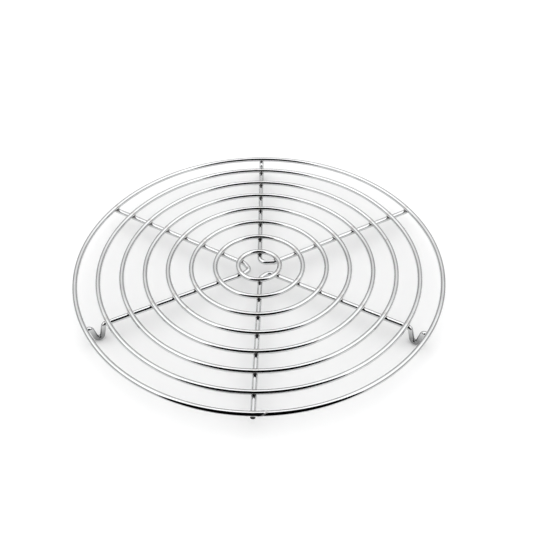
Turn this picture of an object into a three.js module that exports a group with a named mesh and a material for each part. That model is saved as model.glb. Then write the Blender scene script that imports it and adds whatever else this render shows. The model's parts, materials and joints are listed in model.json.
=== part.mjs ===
// Round wire cooling rack: eight concentric rings welded on top of three hairpin spoke wires, each of
// which gives two of the six spokes and one of the three feet.
// Units are millimetres. +Z is up, and the origin is on the table, under the middle of the rings.

import * as THREE from "three";

// Driving dimensions
const WIRE_DIAMETER = 4;
const RACK_HEIGHT = 20;
const RING_RADII = [16.9, 35.7, 55.1, 73.8, 92.5, 111.1, 129.8, 148]; // centre lines, inner to rim
const PLAIN_END_RADIUS = 148.8; // a plain spoke stops just past the rim ring's centre line
const FOOT_END_RADIUS = 147.4; // a footed spoke stops just short of it

// One foot, drawn outwards along its spoke: a U with splayed legs, hanging below the spoke
const FOOT_START_RADIUS = 132.8;
const FOOT_FLAT_START_RADIUS = 135.7;
const FOOT_FLAT_END_RADIUS = 140.2;
const FOOT_STOP_RADIUS = 143.1;
const FOOT_BEND_RADIUS = 2.2; // centre line of each of its four bends

// The three hairpin wires. Bearings are degrees anticlockwise from +X, taken where a spoke meets the
// rim. The turn is bent by hand, so it differs on each wire: its corners are listed from the footed
// spoke to the plain one, each with its x and y in plan and its bend radius.
const SPOKE_WIRES = [
  {
    name: "spoke_wire_back",
    footBearing: 90.7,
    plainBearing: 30.6,
    turn: [[0.4, 7.4, 5.5], [12.3, 8.1, 5]],
  },
  {
    name: "spoke_wire_left",
    footBearing: 208.4,
    plainBearing: 149.9,
    turn: [[-12.4, -6.4, 4], [-7.5, -1, 4], [-12.2, 6.2, 5]],
  },
  {
    name: "spoke_wire_right",
    footBearing: 331.1,
    plainBearing: 270,
    turn: [[7.8, -4.4, 6], [1.3, -11.2, 4]],
  },
];

// Faceting
const WIRE_SIDES = 8; // with flats up and down, and its corners on the round wire's surface
const RING_SAG = 0.12; // furthest that a ring's straight facets leave its true circle
const BEND_STEP = THREE.MathUtils.degToRad(26); // largest turn between two sections of a bend

// Heights that follow from those. The section is a little flatter than round wire, so rings whose
// centre lines are one wire diameter above the spokes' clear them by a narrow gap.
const WIRE_RADIUS = WIRE_DIAMETER / 2;
const WIRE_HALF_FLAT = WIRE_RADIUS * Math.cos(Math.PI / WIRE_SIDES);
const RING_LEVEL = RACK_HEIGHT - WIRE_RADIUS;
const SPOKE_LEVEL = RING_LEVEL - WIRE_DIAMETER;
const FOOT_LEVEL = WIRE_HALF_FLAT; // centre line of the foot's bottom, whose flat is on the table

const BRIGHT_STEEL = { color: 0xcfd1d3, roughness: 0.22, metalness: 1 };

// Corners of the wire's section about its centre, anticlockwise
function wireSection() {
  return Array.from({ length: WIRE_SIDES }, (_, side) => {
    const angle = ((side + 0.5) * 2 * Math.PI) / WIRE_SIDES;
    return new THREE.Vector2(WIRE_RADIUS * Math.cos(angle), WIRE_RADIUS * Math.sin(angle));
  });
}

function addWire(group, name, geometry) {
  const mesh = new THREE.Mesh(geometry, new THREE.MeshStandardMaterial(BRIGHT_STEEL));
  mesh.name = name;
  group.add(mesh);
  return mesh;
}

// A ring is the section revolved. Its facet count is a multiple of four, so that its box is centred.
function ringGeometry(radius) {
  const facets = 4 * Math.ceil((Math.PI / 4) * Math.sqrt(radius / (2 * RING_SAG)));
  const profile = wireSection().map((corner) => corner.add(new THREE.Vector2(radius, 0)));
  return new THREE.LatheGeometry([...profile, profile[0]], facets);
}

function addRings(rack) {
  RING_RADII.forEach((radius, index) => {
    const isRim = index === RING_RADII.length - 1;
    const ring = addWire(rack, `ring_${index + 1}${isRim ? "_rim" : ""}`, ringGeometry(radius));
    ring.rotation.x = Math.PI / 2;
    ring.position.z = RING_LEVEL;
  });
}

// The centre line of a bent wire: straight between its corners, and rounded at each one. A section is
// placed at each station, facing along the wire.
class BentWireCurve extends THREE.Curve {
  constructor(corners) {
    super();
    this.stations = [];
    this.addStation(corners[0].point, direction(corners[0], corners[1]));
    for (let i = 1; i < corners.length - 1; i += 1) {
      this.addBend(corners[i], direction(corners[i - 1], corners[i]), direction(corners[i], corners[i + 1]));
    }
    this.addStation(corners.at(-1).point, direction(corners.at(-2), corners.at(-1)));
  }

  addStation(point, tangent) {
    this.stations.push({ point: point.clone(), tangent: tangent.clone() });
  }

  addBend(corner, arriving, leaving) {
    const turn = arriving.angleTo(leaving);
    const reach = corner.bendRadius * Math.tan(turn / 2);
    const start = corner.point.clone().addScaledVector(arriving, -reach);
    const axis = new THREE.Vector3().crossVectors(arriving, leaving).normalize();
    const toCentre = new THREE.Vector3().crossVectors(axis, arriving).multiplyScalar(corner.bendRadius);
    const centre = start.clone().add(toCentre);
    const steps = Math.ceil(turn / BEND_STEP);
    for (let step = 0; step <= steps; step += 1) {
      const angle = (turn * step) / steps;
      const spoke = toCentre.clone().negate().applyAxisAngle(axis, angle);
      this.addStation(centre.clone().add(spoke), arriving.clone().applyAxisAngle(axis, angle));
    }
  }

  stationAt(fraction) {
    return this.stations[Math.round(fraction * (this.stations.length - 1))];
  }

  getPointAt(fraction) {
    return this.stationAt(fraction).point.clone();
  }

  getTangentAt(fraction) {
    return this.stationAt(fraction).tangent.clone();
  }
}

function direction(from, to) {
  return to.point.clone().sub(from.point).normalize();
}

function polarPoint(radius, bearing, level) {
  const angle = THREE.MathUtils.degToRad(bearing);
  return new THREE.Vector3(radius * Math.cos(angle), radius * Math.sin(angle), level);
}

// Corners of the foot and the footed spoke's end, from the end inwards
function footCorners(bearing) {
  const profile = [
    [FOOT_STOP_RADIUS, SPOKE_LEVEL],
    [FOOT_FLAT_END_RADIUS, FOOT_LEVEL],
    [FOOT_FLAT_START_RADIUS, FOOT_LEVEL],
    [FOOT_START_RADIUS, SPOKE_LEVEL],
  ];
  const bends = profile.map(([radius, level]) => ({
    point: polarPoint(radius, bearing, level),
    bendRadius: FOOT_BEND_RADIUS,
  }));
  return [{ point: polarPoint(FOOT_END_RADIUS, bearing, SPOKE_LEVEL) }, ...bends];
}

function spokeWireGeometry({ footBearing, plainBearing, turn }) {
  const turnCorners = turn.map(([x, y, bendRadius]) => ({
    point: new THREE.Vector3(x, y, SPOKE_LEVEL),
    bendRadius,
  }));
  const plainEnd = { point: polarPoint(PLAIN_END_RADIUS, plainBearing, SPOKE_LEVEL) };
  const centreLine = new BentWireCurve([...footCorners(footBearing), ...turnCorners, plainEnd]);
  return new THREE.ExtrudeGeometry(new THREE.Shape(wireSection()), {
    steps: centreLine.stations.length - 1,
    extrudePath: centreLine,
    bevelEnabled: false,
  });
}

function addSpokeWires(rack) {
  SPOKE_WIRES.forEach((wire) => addWire(rack, wire.name, spokeWireGeometry(wire)));
}

const rack = new THREE.Group();
addRings(rack);
addSpokeWires(rack);

export default rack;
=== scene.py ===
# Looks of a round wire cooling rack: eight butt-welded rings on top of three hairpin spoke wires,
# spot-welded where they cross. The wires are worked out in millimetres and written as meshes in metres.

import json
import math

import bpy
import numpy as np
from mathutils import Matrix, Vector


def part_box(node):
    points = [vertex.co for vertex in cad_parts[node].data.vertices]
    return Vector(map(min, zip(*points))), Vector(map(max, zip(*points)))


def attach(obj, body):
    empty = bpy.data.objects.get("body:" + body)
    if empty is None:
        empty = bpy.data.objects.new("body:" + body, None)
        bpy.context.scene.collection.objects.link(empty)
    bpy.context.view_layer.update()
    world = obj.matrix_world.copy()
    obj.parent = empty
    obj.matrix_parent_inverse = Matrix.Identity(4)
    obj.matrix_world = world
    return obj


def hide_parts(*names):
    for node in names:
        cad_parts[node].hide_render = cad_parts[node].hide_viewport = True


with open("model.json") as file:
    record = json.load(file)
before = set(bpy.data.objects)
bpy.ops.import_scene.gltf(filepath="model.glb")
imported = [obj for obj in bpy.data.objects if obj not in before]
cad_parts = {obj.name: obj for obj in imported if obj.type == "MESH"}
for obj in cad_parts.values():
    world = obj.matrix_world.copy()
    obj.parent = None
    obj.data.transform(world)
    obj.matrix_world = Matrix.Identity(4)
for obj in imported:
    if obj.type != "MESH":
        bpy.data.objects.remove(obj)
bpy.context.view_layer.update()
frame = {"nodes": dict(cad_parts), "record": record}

MM = 0.001

# Wire
WIRE_RADIUS = 2.0
SECTION_SIDES = 24
CAD_HALF_WIDTH = WIRE_RADIUS * math.cos(math.pi / 8)  # the CAD wires are eight-sided
RING_NODES = sorted(name for name in frame["nodes"] if name.startswith("ring_"))

# Spoke wires, with the CAD model's corners. Bearings are degrees anticlockwise from +X. A turn's
# corners run from the footed spoke to the plain one, each with its x and y in plan and bend radius.
SPOKE_WIRES = {
    "spoke_wire_back": {
        "foot": "foot_back",
        "plain_bearing": 30.6,
        "turn": [(0.4, 7.4, 5.5), (12.3, 8.1, 5.0)],
    },
    "spoke_wire_left": {
        "foot": "foot_left",
        "plain_bearing": 149.9,
        "turn": [(-12.4, -6.4, 4.0), (-7.5, -1.0, 4.0), (-12.2, 6.2, 5.0)],
    },
    "spoke_wire_right": {
        "foot": "foot_right",
        "plain_bearing": 270.0,
        "turn": [(7.8, -4.4, 6.0), (1.3, -11.2, 4.0)],
    },
}
PLAIN_END_RADIUS = 148.8
FOOT_END_RADIUS = 147.4
FOOT_RADII = (143.1, 140.2, 135.7, 132.8)  # the foot's four corners, from the wire's end inwards
FOOT_BEND_RADII = (2.2, 2.8, 2.8, 2.2)  # the bottom two are rounder than the CAD model's

# Crossings, which are spot-welded
SET_DOWN = 0.35  # how far the two wires of a crossing are pressed into each other
CROSSING_SAMPLES = 6000  # places along a spoke wire at which crossings are looked for
CROSSING_LEVEL_SLACK = 0.5  # a wire further than this below the spokes' level is in a foot
WELD_FILLET = 1.7  # reach of the squeezed-out metal round a crossing
WELD_NEARBY = 6.0  # only this near to a crossing is a ring's surface tested for squeezed metal and painted crevice shade
CREVICE_SHADE_REACH = 1.3  # gap between the wires' surfaces at which a weld's painted crevice shade fades out
ELECTRODE_FLAT = 0.10  # depth of the flat that the electrode leaves above and below a crossing
ELECTRODE_HALF_LENGTH = 3.2
ELECTRODE_FACING = 0.3  # only what is higher than this, as a share of the radius, can be pressed
HEAT_REACH = 2.2  # length along the wire over which a crossing's tint fades

# Butt welds, which close the rings
BUTT_BEAD = 0.16  # height of the rim's bead; the inner rings' beads are dressed down
DRESSED_BEAD = 0.05
DRESSED_SEAM = 0.2  # how strongly an inner ring's ground seam shows; the rim's shows fully
BUTT_HALF_WIDTH = 0.75
BUTT_SLANT = -2.1  # length along the wire that the weld slants, for each millimetre of height
BUTT_HEAT_REACH = 1.6
RIM_SEAM_BEARING = 272.0
RING_SEAM_STEP = 77.0  # the seams of the other rings go round by this much, ring by ring

# Feet and wire ends
LEG_SHADE_DROP = 9.0  # distance below the spokes at which a foot's leg gets its full painted shade
END_EDGE = 0.3  # radius of the edge round a wire's sheared end

# Slight unevenness that a hand-fed bender leaves in each ring
RING_WANDER = 0.08
RING_RISE = 0.06
STEADY_RADIUS = 60.0  # a ring smaller than this is more even, in proportion
PHASE_STEP = 1.7  # makes the unevenness differ from ring to ring

# Spacing of the sections along a wire
COARSE_STEP = 3.2
FINE_STEP = 0.36
FINE_REACH = 2.8
END_STEP = 0.2
END_REACH = 0.8
STEP_GROWTH = 0.3
BEND_STEP = math.radians(5)
PROBE_STEP = 0.4  # spacing along a wire's centre line when the distance to it is measured
PROBE_BATCH = 4000  # points whose distance is measured at once

# Steel, as shades of red, green and blue
RING_SHADE = (0.88, 0.885, 0.89)
RING_ROUGHNESS = 0.08
SPOKE_SHADE = (0.86, 0.865, 0.87)
SPOKE_ROUGHNESS = 0.085
DULL_PATCH = 0.90  # share of the shade that the duller patches keep
LEG_SHADE_SHARE = 0.48  # share of it that a foot's leg keeps under its full painted shade, which stands in for the shadowed floor that the legs reflect
OXIDE = (0.34, 0.28, 0.22)
OXIDE_AMOUNT = 0.2
OXIDE_ROUGHNESS = 0.07
# Painted shade: near-black darkening where two wires meet at a weld, standing in for the contact shadow
# in the crevice.
CREVICE_PAINTED_SHADE = (0.05, 0.045, 0.04)
CREVICE_SHADE_AMOUNT = 0.85
SEAM_SHADE = (0.9, 0.9, 0.9)
SEAM_ROUGHNESS = 0.75
SHEARED_DARK = (0.05, 0.05, 0.05)
SHEARED_PALE = (0.16, 0.16, 0.155)


def polar(radius, bearing, level):
    """The point at this distance and bearing from the rack's middle."""
    angle = math.radians(bearing)
    return np.array([radius * math.cos(angle), radius * math.sin(angle), level])


def unit(vectors):
    return vectors / np.linalg.norm(vectors, axis=-1, keepdims=True)


# ---- Centre lines ----


class BentWire:
    """A wire's centre line: straight between its corners, with each corner rounded to its radius."""

    def __init__(self, corners):
        points = [np.asarray(point, float) for point, _ in corners]
        headings = [unit(after - before) for before, after in zip(points, points[1:])]
        self.lengths = [0.0]
        self.points = [points[0]]
        self.tangents = [headings[0]]
        self.bend_spots = []
        for i in range(1, len(points) - 1):
            self.add_bend(points[i], headings[i - 1], headings[i], corners[i][1])
        self.add_sample(points[-1], headings[-1])
        self.lengths = np.array(self.lengths)
        self.points = np.array(self.points)
        self.tangents = np.array(self.tangents)
        self.total = self.lengths[-1]

    def add_sample(self, point, tangent, step=None):
        if step is None:
            step = np.linalg.norm(point - self.points[-1])
        self.lengths.append(self.lengths[-1] + step)
        self.points.append(point)
        self.tangents.append(tangent)

    def add_bend(self, corner, arriving, leaving, radius):
        turn = math.acos(float(np.clip(arriving @ leaving, -1, 1)))
        start = corner - arriving * radius * math.tan(turn / 2)
        inward = unit(leaving - arriving * math.cos(turn))
        steps = max(2, math.ceil(turn / BEND_STEP))
        self.add_sample(start, arriving)
        for k in range(1, steps + 1):
            angle = turn * k / steps
            across = inward * (1 - math.cos(angle))
            point = start + radius * (arriving * math.sin(angle) + across)
            tangent = arriving * math.cos(angle) + inward * math.sin(angle)
            self.add_sample(point, tangent, radius * turn / steps)
        half = radius * turn / 2
        self.bend_spots.append((self.lengths[-1] - half, half, radius * turn / steps))

    def at(self, lengths):
        points = [np.interp(lengths, self.lengths, self.points[:, axis]) for axis in range(3)]
        tangents = [np.interp(lengths, self.lengths, self.tangents[:, axis]) for axis in range(3)]
        return np.stack(points, -1), unit(np.stack(tangents, -1))


class Ring:
    """A ring's centre line, from its seam round and back, wandering a little from the true circle."""

    def __init__(self, node, index):
        low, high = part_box(node)
        self.node = node
        self.radius = (high.x - low.x) / 2 / MM - CAD_HALF_WIDTH
        self.level = (high.z + low.z) / 2 / MM
        self.is_rim = index == len(RING_NODES) - 1
        self.total = 2 * math.pi * self.radius
        self.phase = PHASE_STEP * index
        self.seam = math.radians(RIM_SEAM_BEARING)
        if not self.is_rim:
            self.seam += math.radians(RING_SEAM_STEP * (index + 1))

    def wander(self, angles):
        size = RING_WANDER * min(1.0, self.radius / STEADY_RADIUS)
        return size * (np.sin(3 * angles + self.phase) + 0.5 * np.sin(7 * angles + 2 * self.phase))

    def rise(self, angles):
        size = RING_RISE * min(1.0, self.radius / STEADY_RADIUS)
        return size * np.sin(4 * angles + 3 * self.phase)

    def at(self, lengths):
        angles = self.seam + np.asarray(lengths) / self.radius
        reach = self.radius + self.wander(angles)
        level = self.level + self.rise(angles)
        points = np.stack([reach * np.cos(angles), reach * np.sin(angles), level], -1)
        tangents = np.stack([-np.sin(angles), np.cos(angles), 0 * angles], -1)
        return points, tangents

    def distance(self, points):
        angles = np.arctan2(points[..., 1], points[..., 0])
        outward = np.hypot(points[..., 0], points[..., 1]) - self.radius - self.wander(angles)
        return np.hypot(outward, points[..., 2] - self.level - self.rise(angles))

    def length_at(self, point):
        return (math.atan2(point[1], point[0]) - self.seam) % (2 * math.pi) * self.radius


def spoke_wire(shape, spoke_level):
    mounts = {mount["name"]: mount for mount in frame["record"]["mounts"]}
    foot_x, foot_y, _ = mounts[shape["foot"]]["pos_m"]
    foot_bearing = math.degrees(math.atan2(foot_y, foot_x))
    foot_levels = (spoke_level, WIRE_RADIUS, WIRE_RADIUS, spoke_level)
    corners = [(polar(FOOT_END_RADIUS, foot_bearing, spoke_level), 0)]
    for radius, level, bend_radius in zip(FOOT_RADII, foot_levels, FOOT_BEND_RADII):
        corners.append((polar(radius, foot_bearing, level), bend_radius))
    for x, y, bend_radius in shape["turn"]:
        corners.append(((x, y, spoke_level), bend_radius))
    corners.append((polar(PLAIN_END_RADIUS, shape["plain_bearing"], spoke_level), 0))
    return BentWire(corners)


def crossings_of(wire, ring, spoke_level):
    """Lengths along a spoke wire at which it passes under a ring."""
    lengths = np.linspace(0, wire.total, CROSSING_SAMPLES)
    points, _ = wire.at(lengths)
    outside = np.hypot(points[:, 0], points[:, 1]) > ring.radius
    changes = np.flatnonzero(outside[1:] != outside[:-1])
    return [lengths[i] for i in changes if points[i, 2] > spoke_level - CROSSING_LEVEL_SLACK]


def distance_to_wire(points, wire):
    """Distance from each point to the wire's centre line."""
    samples, tangents = wire.at(np.arange(0, wire.total, PROBE_STEP))
    result = np.empty(len(points))
    for start in range(0, len(points), PROBE_BATCH):
        chunk = points[start : start + PROBE_BATCH]
        away = chunk[:, None, :] - samples[None, :, :]
        nearest = np.argmin((away**2).sum(-1), 1)
        offset = away[np.arange(len(chunk)), nearest]
        beside = offset - (offset * tangents[nearest]).sum(-1, keepdims=True) * tangents[nearest]
        result[start : start + PROBE_BATCH] = np.linalg.norm(beside, axis=-1)
    return result


# ---- Wire meshes ----


def graded_lengths(total, spots):
    """Lengths along a wire, close together near each spot and further apart away from them. A spot is
    its length along the wire, the reach on each side that it needs, and the step wanted there."""
    lengths = [0.0]
    while lengths[-1] < total:
        here = lengths[-1]
        steps = [fine + STEP_GROWTH * max(abs(here - spot) - reach, 0) for spot, reach, fine in spots]
        lengths.append(here + min(COARSE_STEP, *steps))
    return np.array(lengths) * total / lengths[-1]


def squeezed_metal(gap):
    """Height of the fillet on a wire's surface at this distance from the other wire's surface."""
    closeness = np.clip(1 - np.abs(gap) / WELD_FILLET, 0, 1)
    return WELD_FILLET / 4 * closeness**2


def crevice_shade_depth(gap):
    """How much painted shade a point gets in the crevice beside a weld: 1 where the wires meet, and 0
    outside.
    """
    return np.clip(1 - np.abs(gap) / CREVICE_SHADE_REACH, 0, 1)


class Sweep:
    """The round section carried along a centre line, as arrays of stations by sides."""

    def __init__(self, line, lengths):
        self.lengths = lengths
        self.centres, self.tangents = line.at(lengths)
        side = unit(np.cross([0.0, 0.0, 1.0], self.tangents))
        up = np.cross(self.tangents, side)
        angles = np.arange(SECTION_SIDES) * 2 * math.pi / SECTION_SIDES
        self.across = np.cos(angles)[None, :] * np.ones((len(lengths), 1))
        self.above = np.sin(angles)[None, :] * np.ones((len(lengths), 1))
        self.side = side[:, None, :]
        self.up = up[:, None, :]
        self.outward = self.across[..., None] * self.side + self.above[..., None] * self.up
        self.along = lengths[:, None] * np.ones_like(self.across)
        self.height = np.zeros_like(self.across)  # metal standing proud of the round section
        self.heat = np.zeros_like(self.across)  # this and the three below run from 0 to 1; the first and third below are painted shade, on the feet's legs and in the weld crevices
        self.leg_shade = np.zeros_like(self.across)
        self.seam = np.zeros_like(self.across)
        self.crevice_painted_shade = np.zeros_like(self.across)

    def surface(self):
        reach = (WIRE_RADIUS + self.height)[..., None]
        return self.centres[:, None, :] + reach * self.outward

    def press_flat(self, spot, facing):
        """Presses the electrode's shallow flat into the top (facing 1) or bottom (facing -1)."""
        window = np.clip(1 - (np.abs(self.along - spot) / ELECTRODE_HALF_LENGTH) ** 2, 0, 1) ** 2
        limit = WIRE_RADIUS - ELECTRODE_FLAT * window
        faces_it = self.above * facing > ELECTRODE_FACING
        slope = np.where(faces_it, self.above * facing, 1.0)
        pressed = np.minimum(slope * (WIRE_RADIUS + self.height), limit) / slope - WIRE_RADIUS
        self.height = np.where(faces_it, pressed, self.height)

    def warm(self, from_weld, reach):
        """Tints the wire, given each point's length along it from a weld."""
        self.heat = np.maximum(self.heat, np.exp(-((from_weld / reach) ** 2)))


def write_mesh(name, sweep, closed, materials):
    """Makes the wire's object. An open wire gets a flat end at each tip, in the second material."""
    points = sweep.surface()
    stations, sides, _ = points.shape
    section = np.stack([sweep.along, sweep.across * WIRE_RADIUS, sweep.above * WIRE_RADIUS], -1)
    vertices = points.reshape(-1, 3) * MM
    spans = stations if closed else stations - 1
    faces = []
    for i in range(spans):
        here, there = i * sides, (i + 1) % stations * sides
        for k in range(sides):
            turn = (k + 1) % sides
            faces.append((here + k, here + turn, there + turn, there + k))
    section = section.reshape(-1, 3)
    if not closed:
        tips = np.array([sweep.centres[0], sweep.centres[-1]]) * MM
        vertices = np.concatenate([vertices, tips])
        section = np.concatenate([section, [[sweep.lengths[0], 0, 0], [sweep.lengths[-1], 0, 0]]])
        first_tip = stations * sides
        last = (stations - 1) * sides
        for k in range(sides):
            turn = (k + 1) % sides
            faces.append((first_tip, turn, k))
            faces.append((first_tip + 1, last + k, last + turn))
    mesh = bpy.data.meshes.new(name)
    mesh.from_pydata(vertices.tolist(), [], faces)
    for material in materials:
        mesh.materials.append(material)
    mesh.polygons.foreach_set("use_smooth", [True] * len(mesh.polygons))
    if not closed:
        for polygon in mesh.polygons[-2 * sides :]:
            polygon.material_index = 1
            polygon.use_smooth = False
    place = mesh.attributes.new("wire_place", "FLOAT_VECTOR", "POINT")
    place.data.foreach_set("vector", section.astype(np.float32).ravel())
    layers = {
        "weld_heat": sweep.heat,
        "leg_painted_shade": sweep.leg_shade,
        "ground_seam": sweep.seam,
        "weld_crevice_painted_shade": sweep.crevice_painted_shade,
    }
    for label, values in layers.items():
        layer = mesh.attributes.new(label, "FLOAT", "POINT")
        padded = np.zeros(len(vertices), np.float32)
        padded[: values.size] = values.ravel()
        layer.data.foreach_set("value", padded)
    mesh.update()
    piece = bpy.data.objects.new(name, mesh)
    bpy.context.scene.collection.objects.link(piece)
    return piece


# ---- Materials ----


def connect(tree, value, socket):
    """Gives a socket its value, which is a number, a colour or another node's output."""
    if isinstance(value, bpy.types.NodeSocket):
        tree.links.new(value, socket)
    else:
        socket.default_value = value


def node(tree, kind, **inputs):
    made = tree.nodes.new(kind)
    for key, value in inputs.items():
        connect(tree, value, made.inputs[key])
    return made


def maths(tree, operation, first, second=None, third=None):
    made = tree.nodes.new("ShaderNodeMath")
    made.operation = operation
    for socket, value in zip(made.inputs, (first, second, third)):
        if value is not None:
            connect(tree, value, socket)
    return made.outputs[0]


def attribute(tree, name, output):
    made = tree.nodes.new("ShaderNodeAttribute")
    made.attribute_name = name
    return made.outputs[output]


def blank_material(name):
    material = bpy.data.materials.new(name)
    material.use_nodes = True
    return material, material.node_tree, material.node_tree.nodes["Principled BSDF"]


def ramp(tree, factor, low, high, smooth=False):
    """Maps factor so that low[0] gives low[1] and high[0] gives high[1], and holds it between them."""
    start = {"From Min": low[0], "To Min": low[1]}
    end = {"From Max": high[0], "To Max": high[1]}
    made = node(tree, "ShaderNodeMapRange", Value=factor, **start, **end)
    made.interpolation_type = "SMOOTHSTEP" if smooth else "LINEAR"
    return made.outputs["Result"]


def blend(tree, factor, first, second):
    """first where factor is 0, and second where it is 1."""
    made = tree.nodes.new("ShaderNodeMix")
    for slot, value in zip((0, 2, 3), (factor, first, second)):
        connect(tree, value, made.inputs[slot])
    return made.outputs[0]


def opaque(shade, share=1.0):
    """The colour that a node takes for a shade, or for a share of it."""
    return tuple(share * part for part in shade) + (1.0,)


def mix_colour(tree, factor, first, second):
    """blend, for colours."""
    made = tree.nodes.new("ShaderNodeMix")
    made.data_type = "RGBA"
    for slot, value in zip((0, 6, 7), (factor, first, second)):
        connect(tree, value, made.inputs[slot])
    return made.outputs[2]


def stretched_noise(tree, place, density, detail):
    """Noise with its own density along each axis of place."""
    stretched = tree.nodes.new("ShaderNodeVectorMath")
    stretched.operation = "MULTIPLY"
    tree.links.new(place, stretched.inputs[0])
    stretched.inputs[1].default_value = density
    settings = {"Scale": 1.0, "Detail": detail, "Roughness": 0.6}
    made = node(tree, "ShaderNodeTexNoise", Vector=stretched.outputs[0], **settings)
    return made.outputs["Fac"]


def bright_wire(name, shade, roughness):
    """Bright drawn stainless wire: fine lengthwise draw lines, patchy polish, marks at its welds (oxide
    tint, and painted shade in the crevices where the wires meet), and painted shade darkening the legs
    at its foot."""
    material, tree, surface = blank_material(name)
    place = attribute(tree, "wire_place", "Vector")
    draw_lines = stretched_noise(tree, place, (0.03, 5.0, 5.0), 4.0)
    patches = stretched_noise(tree, place, (0.05, 0.35, 0.35), 2.0)
    speckle = stretched_noise(tree, place, (1.1, 1.1, 1.1), 3.0)
    heat = attribute(tree, "weld_heat", "Fac")
    oxidised = maths(tree, "MULTIPLY", heat, ramp(tree, speckle, (0.35, 0.4), (0.6, 1.0)))
    # Painted shade: a foot's legs darken the further they drop below the spokes, standing in for the
    # shadowed floor that they reflect.
    leg_shade = attribute(tree, "leg_painted_shade", "Fac")
    leg_darkening = maths(tree, "MULTIPLY", leg_shade, ramp(tree, patches, (0.3, 0.8), (0.7, 1.0)))
    # Painted shade: the crevice where the wires meet at a weld is darkened, standing in for its contact
    # shadow.
    crevice_painted_shade = maths(tree, "MULTIPLY", attribute(tree, "weld_crevice_painted_shade", "Fac"), CREVICE_SHADE_AMOUNT)
    seam = attribute(tree, "ground_seam", "Fac")

    polish = ramp(tree, patches, (0.35, 0.0), (0.65, 1.0))
    colour = mix_colour(tree, polish, opaque(shade, DULL_PATCH), opaque(shade))
    # painted shade on the foot's legs
    colour = mix_colour(tree, leg_darkening, colour, opaque(shade, LEG_SHADE_SHARE))
    colour = mix_colour(tree, maths(tree, "MULTIPLY", oxidised, OXIDE_AMOUNT), colour, opaque(OXIDE))
    # painted crevice shade at the welds
    colour = mix_colour(tree, crevice_painted_shade, colour, opaque(CREVICE_PAINTED_SHADE))
    colour = mix_colour(tree, seam, colour, opaque(SEAM_SHADE))
    tree.links.new(colour, surface.inputs["Base Color"])
    surface.inputs["Metallic"].default_value = 1.0

    rough = ramp(tree, draw_lines, (0.3, roughness * 0.75), (0.7, roughness * 1.3))
    rough = maths(tree, "ADD", rough, maths(tree, "MULTIPLY", oxidised, OXIDE_ROUGHNESS))
    tree.links.new(blend(tree, seam, rough, SEAM_ROUGHNESS), surface.inputs["Roughness"])
    bump = node(tree, "ShaderNodeBump", Strength=0.12, Distance=0.00002, Height=draw_lines)
    tree.links.new(bump.outputs["Normal"], surface.inputs["Normal"])
    return material


def sheared_end(name):
    """The sheared end of a wire: dull, dark and scored by the blade."""
    material, tree, surface = blank_material(name)
    place = attribute(tree, "wire_place", "Vector")
    scores = stretched_noise(tree, place, (0.5, 0.8, 6.0), 3.0)
    shade = mix_colour(tree, scores, opaque(SHEARED_DARK), opaque(SHEARED_PALE))
    tree.links.new(shade, surface.inputs["Base Color"])
    surface.inputs["Metallic"].default_value = 1.0
    tree.links.new(ramp(tree, scores, (0.3, 0.4), (0.7, 0.6)), surface.inputs["Roughness"])
    bump = node(tree, "ShaderNodeBump", Strength=0.4, Distance=0.0001, Height=scores)
    tree.links.new(bump.outputs["Normal"], surface.inputs["Normal"])
    return material


def floor_material():
    """Matt and very pale, with a faint mottle. Reflections see it a little greyer."""
    material, tree, surface = blank_material("pale_floor")
    position = tree.nodes.new("ShaderNodeNewGeometry").outputs["Position"]
    mottle = stretched_noise(tree, position, (3.0, 3.0, 3.0), 2.0)
    pale = mix_colour(tree, mottle, opaque((0.93, 0.93, 0.93)), opaque((0.95, 0.95, 0.95)))
    reflected = tree.nodes.new("ShaderNodeLightPath").outputs["Is Glossy Ray"]
    seen = mix_colour(tree, reflected, pale, opaque((0.78, 0.78, 0.78)))
    tree.links.new(seen, surface.inputs["Base Color"])
    surface.inputs["Roughness"].default_value = 1.0
    surface.inputs["Specular IOR Level"].default_value = 0.0
    return material


ring_steel = bright_wire("bright_ring_wire", RING_SHADE, RING_ROUGHNESS)
spoke_steel = bright_wire("bright_spoke_wire", SPOKE_SHADE, SPOKE_ROUGHNESS)
sheared_steel = sheared_end("sheared_wire_end")

# ---- The rings and spoke wires ----

rings = [Ring(name, index) for index, name in enumerate(RING_NODES)]
spoke_level = rings[0].level - 2 * WIRE_RADIUS + SET_DOWN
wires = {name: spoke_wire(shape, spoke_level) for name, shape in SPOKE_WIRES.items()}
crossings = []
for wire_name, wire in wires.items():
    for ring in rings:
        for length in crossings_of(wire, ring, spoke_level):
            point, _ = wire.at(np.array([length]))
            crossings.append({"wire": wire_name, "ring": ring, "along_wire": length, "point": point[0]})


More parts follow.
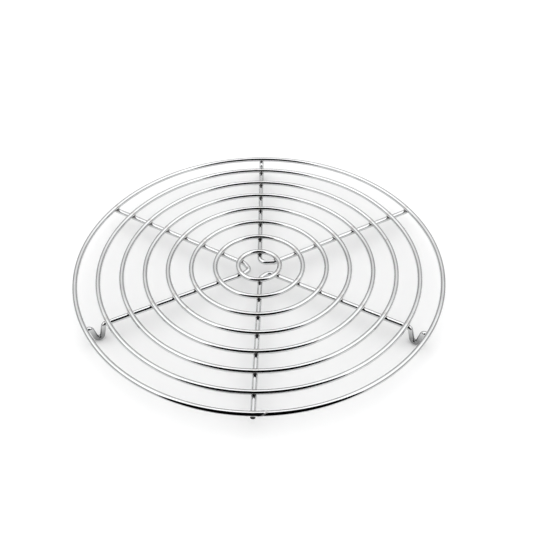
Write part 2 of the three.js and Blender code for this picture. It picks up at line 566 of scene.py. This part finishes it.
def ring_piece(ring):
    spots = [(0.0, FINE_REACH, FINE_STEP), (ring.total, FINE_REACH, FINE_STEP)]
    mine = [c for c in crossings if c["ring"] is ring]
    for crossing in mine:
        spots.append((ring.length_at(crossing["point"]), FINE_REACH, FINE_STEP))
    spots.append((ring.total / 2, ring.total, ring.radius * BEND_STEP))
    sweep = Sweep(ring, graded_lengths(ring.total, spots)[:-1])
    bare = sweep.surface()
    for crossing in mine:
        near = np.linalg.norm(bare - crossing["point"], axis=-1) < WELD_NEARBY
        # Squeezed metal round the weld, and painted shade in its crevice.
        gap = distance_to_wire(bare[near], wires[crossing["wire"]]) - WIRE_RADIUS
        sweep.height[near] = np.maximum(sweep.height[near], squeezed_metal(gap))
        sweep.crevice_painted_shade[near] = np.maximum(sweep.crevice_painted_shade[near], crevice_shade_depth(gap))
        spot = ring.length_at(crossing["point"])
        sweep.press_flat(spot, 1)
        sweep.warm(sweep.along - spot, HEAT_REACH)
    from_seam = (sweep.along + ring.total / 2) % ring.total - ring.total / 2
    from_seam = from_seam + BUTT_SLANT * sweep.above * WIRE_RADIUS
    bead = BUTT_BEAD if ring.is_rim else DRESSED_BEAD
    hump = np.exp(-((from_seam / BUTT_HALF_WIDTH) ** 2))
    sweep.height = sweep.height + bead * hump
    sweep.seam = hump if ring.is_rim else DRESSED_SEAM * hump
    sweep.warm(from_seam, BUTT_HEAT_REACH)
    return write_mesh(f"{ring.node}_wire", sweep, True, [ring_steel])


def spoke_piece(name, wire):
    spots = [(0.0, END_REACH, END_STEP), (wire.total, END_REACH, END_STEP), *wire.bend_spots]
    mine = [c for c in crossings if c["wire"] == name]
    spots += [(c["along_wire"], FINE_REACH, FINE_STEP) for c in mine]
    sweep = Sweep(wire, graded_lengths(wire.total, spots))
    bare = sweep.surface()
    for crossing in mine:
        # Squeezed metal round the weld, and painted shade in its crevice.
        gap = crossing["ring"].distance(bare) - WIRE_RADIUS
        sweep.height = np.maximum(sweep.height, squeezed_metal(gap))
        sweep.crevice_painted_shade = np.maximum(sweep.crevice_painted_shade, crevice_shade_depth(gap))
        sweep.press_flat(crossing["along_wire"], -1)
        sweep.warm(sweep.along - crossing["along_wire"], HEAT_REACH)
    # Painted shade on the foot's legs, deepening towards the floor.
    drop = spoke_level - sweep.centres[:, 2:3]
    sweep.leg_shade = np.clip(drop / LEG_SHADE_DROP, 0, 1) * np.ones_like(sweep.across)
    from_end = np.minimum(sweep.along, wire.total - sweep.along)
    into_edge = np.clip(END_EDGE - from_end, 0, END_EDGE)
    sweep.height = sweep.height - (END_EDGE - np.sqrt(END_EDGE**2 - into_edge**2))
    return write_mesh(f"{name}_round", sweep, False, [spoke_steel, sheared_steel])


for ring in rings:
    piece = ring_piece(ring)
    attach(piece, "root")
    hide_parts(ring.node)

for name, wire in wires.items():
    piece = spoke_piece(name, wire)
    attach(piece, "root")
    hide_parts(name)

# ---- Studio ----

# Sizes here are in metres, and angles in degrees.
TABLE_SIDE = 0.24  # how far the table top goes to each side of the rack's middle
TABLE_BACK = 0.24
TABLE_FRONT = -0.166
FLOOR_REACH = 6.0
CAMERA_BEARING = -87.5  # anticlockwise from +X, seen from the rack's middle
CAMERA_ELEVATION = 42.85
CAMERA_DISTANCE = 0.6551
CAMERA_ROLL = -0.753
AIM_RIGHTWARD = 0.00613  # where the camera aims on the rings' plane, from their middle
AIM_TOWARDS = 0.00147
LENS = 54.33
DOME = 1.3  # radiance of the white tent overhead
HORIZON = 0.36  # radiance of the grey gap between the tent and the table
TENT_FOOT = 6  # elevation at which the tent starts to brighten
TENT_FULL_AT_SIDE = 46  # elevations by which it is fully lit
TENT_FULL_BEHIND = 72
BEHIND = (105, 160)  # angles from the camera's bearing over which one becomes the other
FLAG_DISTANCE = 0.30  # from the rack's middle towards the camera
FLAG_HALF_WIDTH = 0.29
FLAG_HALF_HEIGHT = 2.2
FLAG_MIDDLE = 0.20  # height of its middle above the table
FLAG_CORNERS = 96
SOFTBOX_SIZE = 2.4
SOFTBOX_HEIGHT = 1.5
SOFTBOX_POWER = 5.0
VIEW_GAMMA = 0.8  # deepens the greys

UPWARD = Vector((0, 0, 1))
TOWARDS_CAMERA = Vector(polar(1, CAMERA_BEARING, 0))
CAMERA_RIGHTWARD = Vector(polar(1, CAMERA_BEARING + 90, 0))


def add_stage_piece(name, vertices, faces, material):
    mesh = bpy.data.meshes.new(name)
    mesh.from_pydata(vertices, [], faces)
    mesh.materials.append(material)
    piece = bpy.data.objects.new(name, mesh)
    bpy.context.scene.collection.objects.link(piece)
    return piece


def add_floor():
    """A table top, and round it a floor at the same level that reflections don't see."""
    material = floor_material()
    sides = (-TABLE_SIDE, TABLE_SIDE, TABLE_SIDE, -TABLE_SIDE)
    ends = (TABLE_FRONT, TABLE_FRONT, TABLE_BACK, TABLE_BACK)
    inner = [(x, y, 0) for x, y in zip(sides, ends)]
    outer = [(math.copysign(FLOOR_REACH, x), math.copysign(FLOOR_REACH, y), 0) for x, y, _ in inner]
    beyond = [(k, 4 + k, 4 + (k + 1) % 4, (k + 1) % 4) for k in range(4)]
    add_stage_piece("table_top", inner, [(0, 1, 2, 3)], material)
    floor = add_stage_piece("floor", inner + outer, beyond, material)
    floor.visible_glossy = False


def add_camera():
    camera_data = bpy.data.cameras.new("camera")
    camera_data.lens = LENS
    camera_data.sensor_width = 36.0
    camera_data.clip_start = 0.01
    camera = bpy.data.objects.new("camera", camera_data)
    bpy.context.scene.collection.objects.link(camera)
    elevation = math.radians(CAMERA_ELEVATION)
    middle = rings[0].level * MM * UPWARD
    outward = math.cos(elevation) * TOWARDS_CAMERA + math.sin(elevation) * UPWARD
    place = middle + CAMERA_DISTANCE * outward
    aim = middle + AIM_RIGHTWARD * CAMERA_RIGHTWARD + AIM_TOWARDS * TOWARDS_CAMERA
    turn = (place - aim).to_track_quat("Z", "Y").to_matrix()
    roll = Matrix.Rotation(math.radians(CAMERA_ROLL), 3, "Z")
    camera.matrix_world = Matrix.Translation(place) @ (turn @ roll).to_4x4()
    bpy.context.scene.camera = camera


def add_world():
    """A white tent that darkens towards the horizon. The camera itself sees plain white."""
    world = bpy.data.worlds.new("soft_tent")
    world.use_nodes = True
    bpy.context.scene.world = world
    tree = world.node_tree
    tree.nodes.clear()
    direction = tree.nodes.new("ShaderNodeTexCoord").outputs["Generated"]
    split = tree.nodes.new("ShaderNodeSeparateXYZ")
    tree.links.new(direction, split.inputs[0])
    x, y, z = split.outputs
    elevation = maths(tree, "DEGREES", maths(tree, "ARCSINE", z))
    bearing = maths(tree, "DEGREES", maths(tree, "ARCTAN2", y, x))
    turned = maths(tree, "WRAP", maths(tree, "SUBTRACT", bearing, CAMERA_BEARING), 180.0, -180.0)
    swing = maths(tree, "ABSOLUTE", turned)
    full_at = ramp(tree, swing, (BEHIND[0], TENT_FULL_AT_SIDE), (BEHIND[1], TENT_FULL_BEHIND), True)
    tent = ramp(tree, elevation, (TENT_FOOT, HORIZON), (full_at, DOME), True)
    seen = tree.nodes.new("ShaderNodeLightPath").outputs["Is Camera Ray"]
    glow = node(tree, "ShaderNodeBackground", Color=(1, 1, 1, 1), Strength=blend(tree, seen, tent, 1.0))
    output = tree.nodes.new("ShaderNodeOutputWorld")
    tree.links.new(glow.outputs[0], output.inputs["Surface"])


def add_flag():
    """An oval black flag, which only reflections see. It gives the wires dark lines along the sides
    that face the camera."""
    material, _, surface = blank_material("black_flag")
    surface.inputs["Base Color"].default_value = (0, 0, 0, 1)
    surface.inputs["Specular IOR Level"].default_value = 0
    middle = FLAG_DISTANCE * TOWARDS_CAMERA + FLAG_MIDDLE * UPWARD
    outline = []
    for k in range(FLAG_CORNERS):
        angle = 2 * math.pi * k / FLAG_CORNERS
        across = FLAG_HALF_WIDTH * math.cos(angle) * CAMERA_RIGHTWARD
        outline.append(middle + across + FLAG_HALF_HEIGHT * math.sin(angle) * UPWARD)
    flag = add_stage_piece("black_flag", outline, [tuple(range(FLAG_CORNERS))], material)
    flag.visible_camera = False
    flag.visible_diffuse = False
    flag.visible_shadow = False


def add_softbox():
    """The light overhead that throws the rack's soft shadow."""
    light = bpy.data.lights.new("softbox", "AREA")
    light.size = SOFTBOX_SIZE
    light.energy = SOFTBOX_POWER
    softbox = bpy.data.objects.new("softbox", light)
    softbox.location = (0, 0, SOFTBOX_HEIGHT)
    softbox.visible_glossy = False
    bpy.context.scene.collection.objects.link(softbox)


add_floor()
add_camera()
add_world()
add_flag()
add_softbox()
view = bpy.context.scene.view_settings
view.view_transform = "Standard"
view.gamma = VIEW_GAMMA
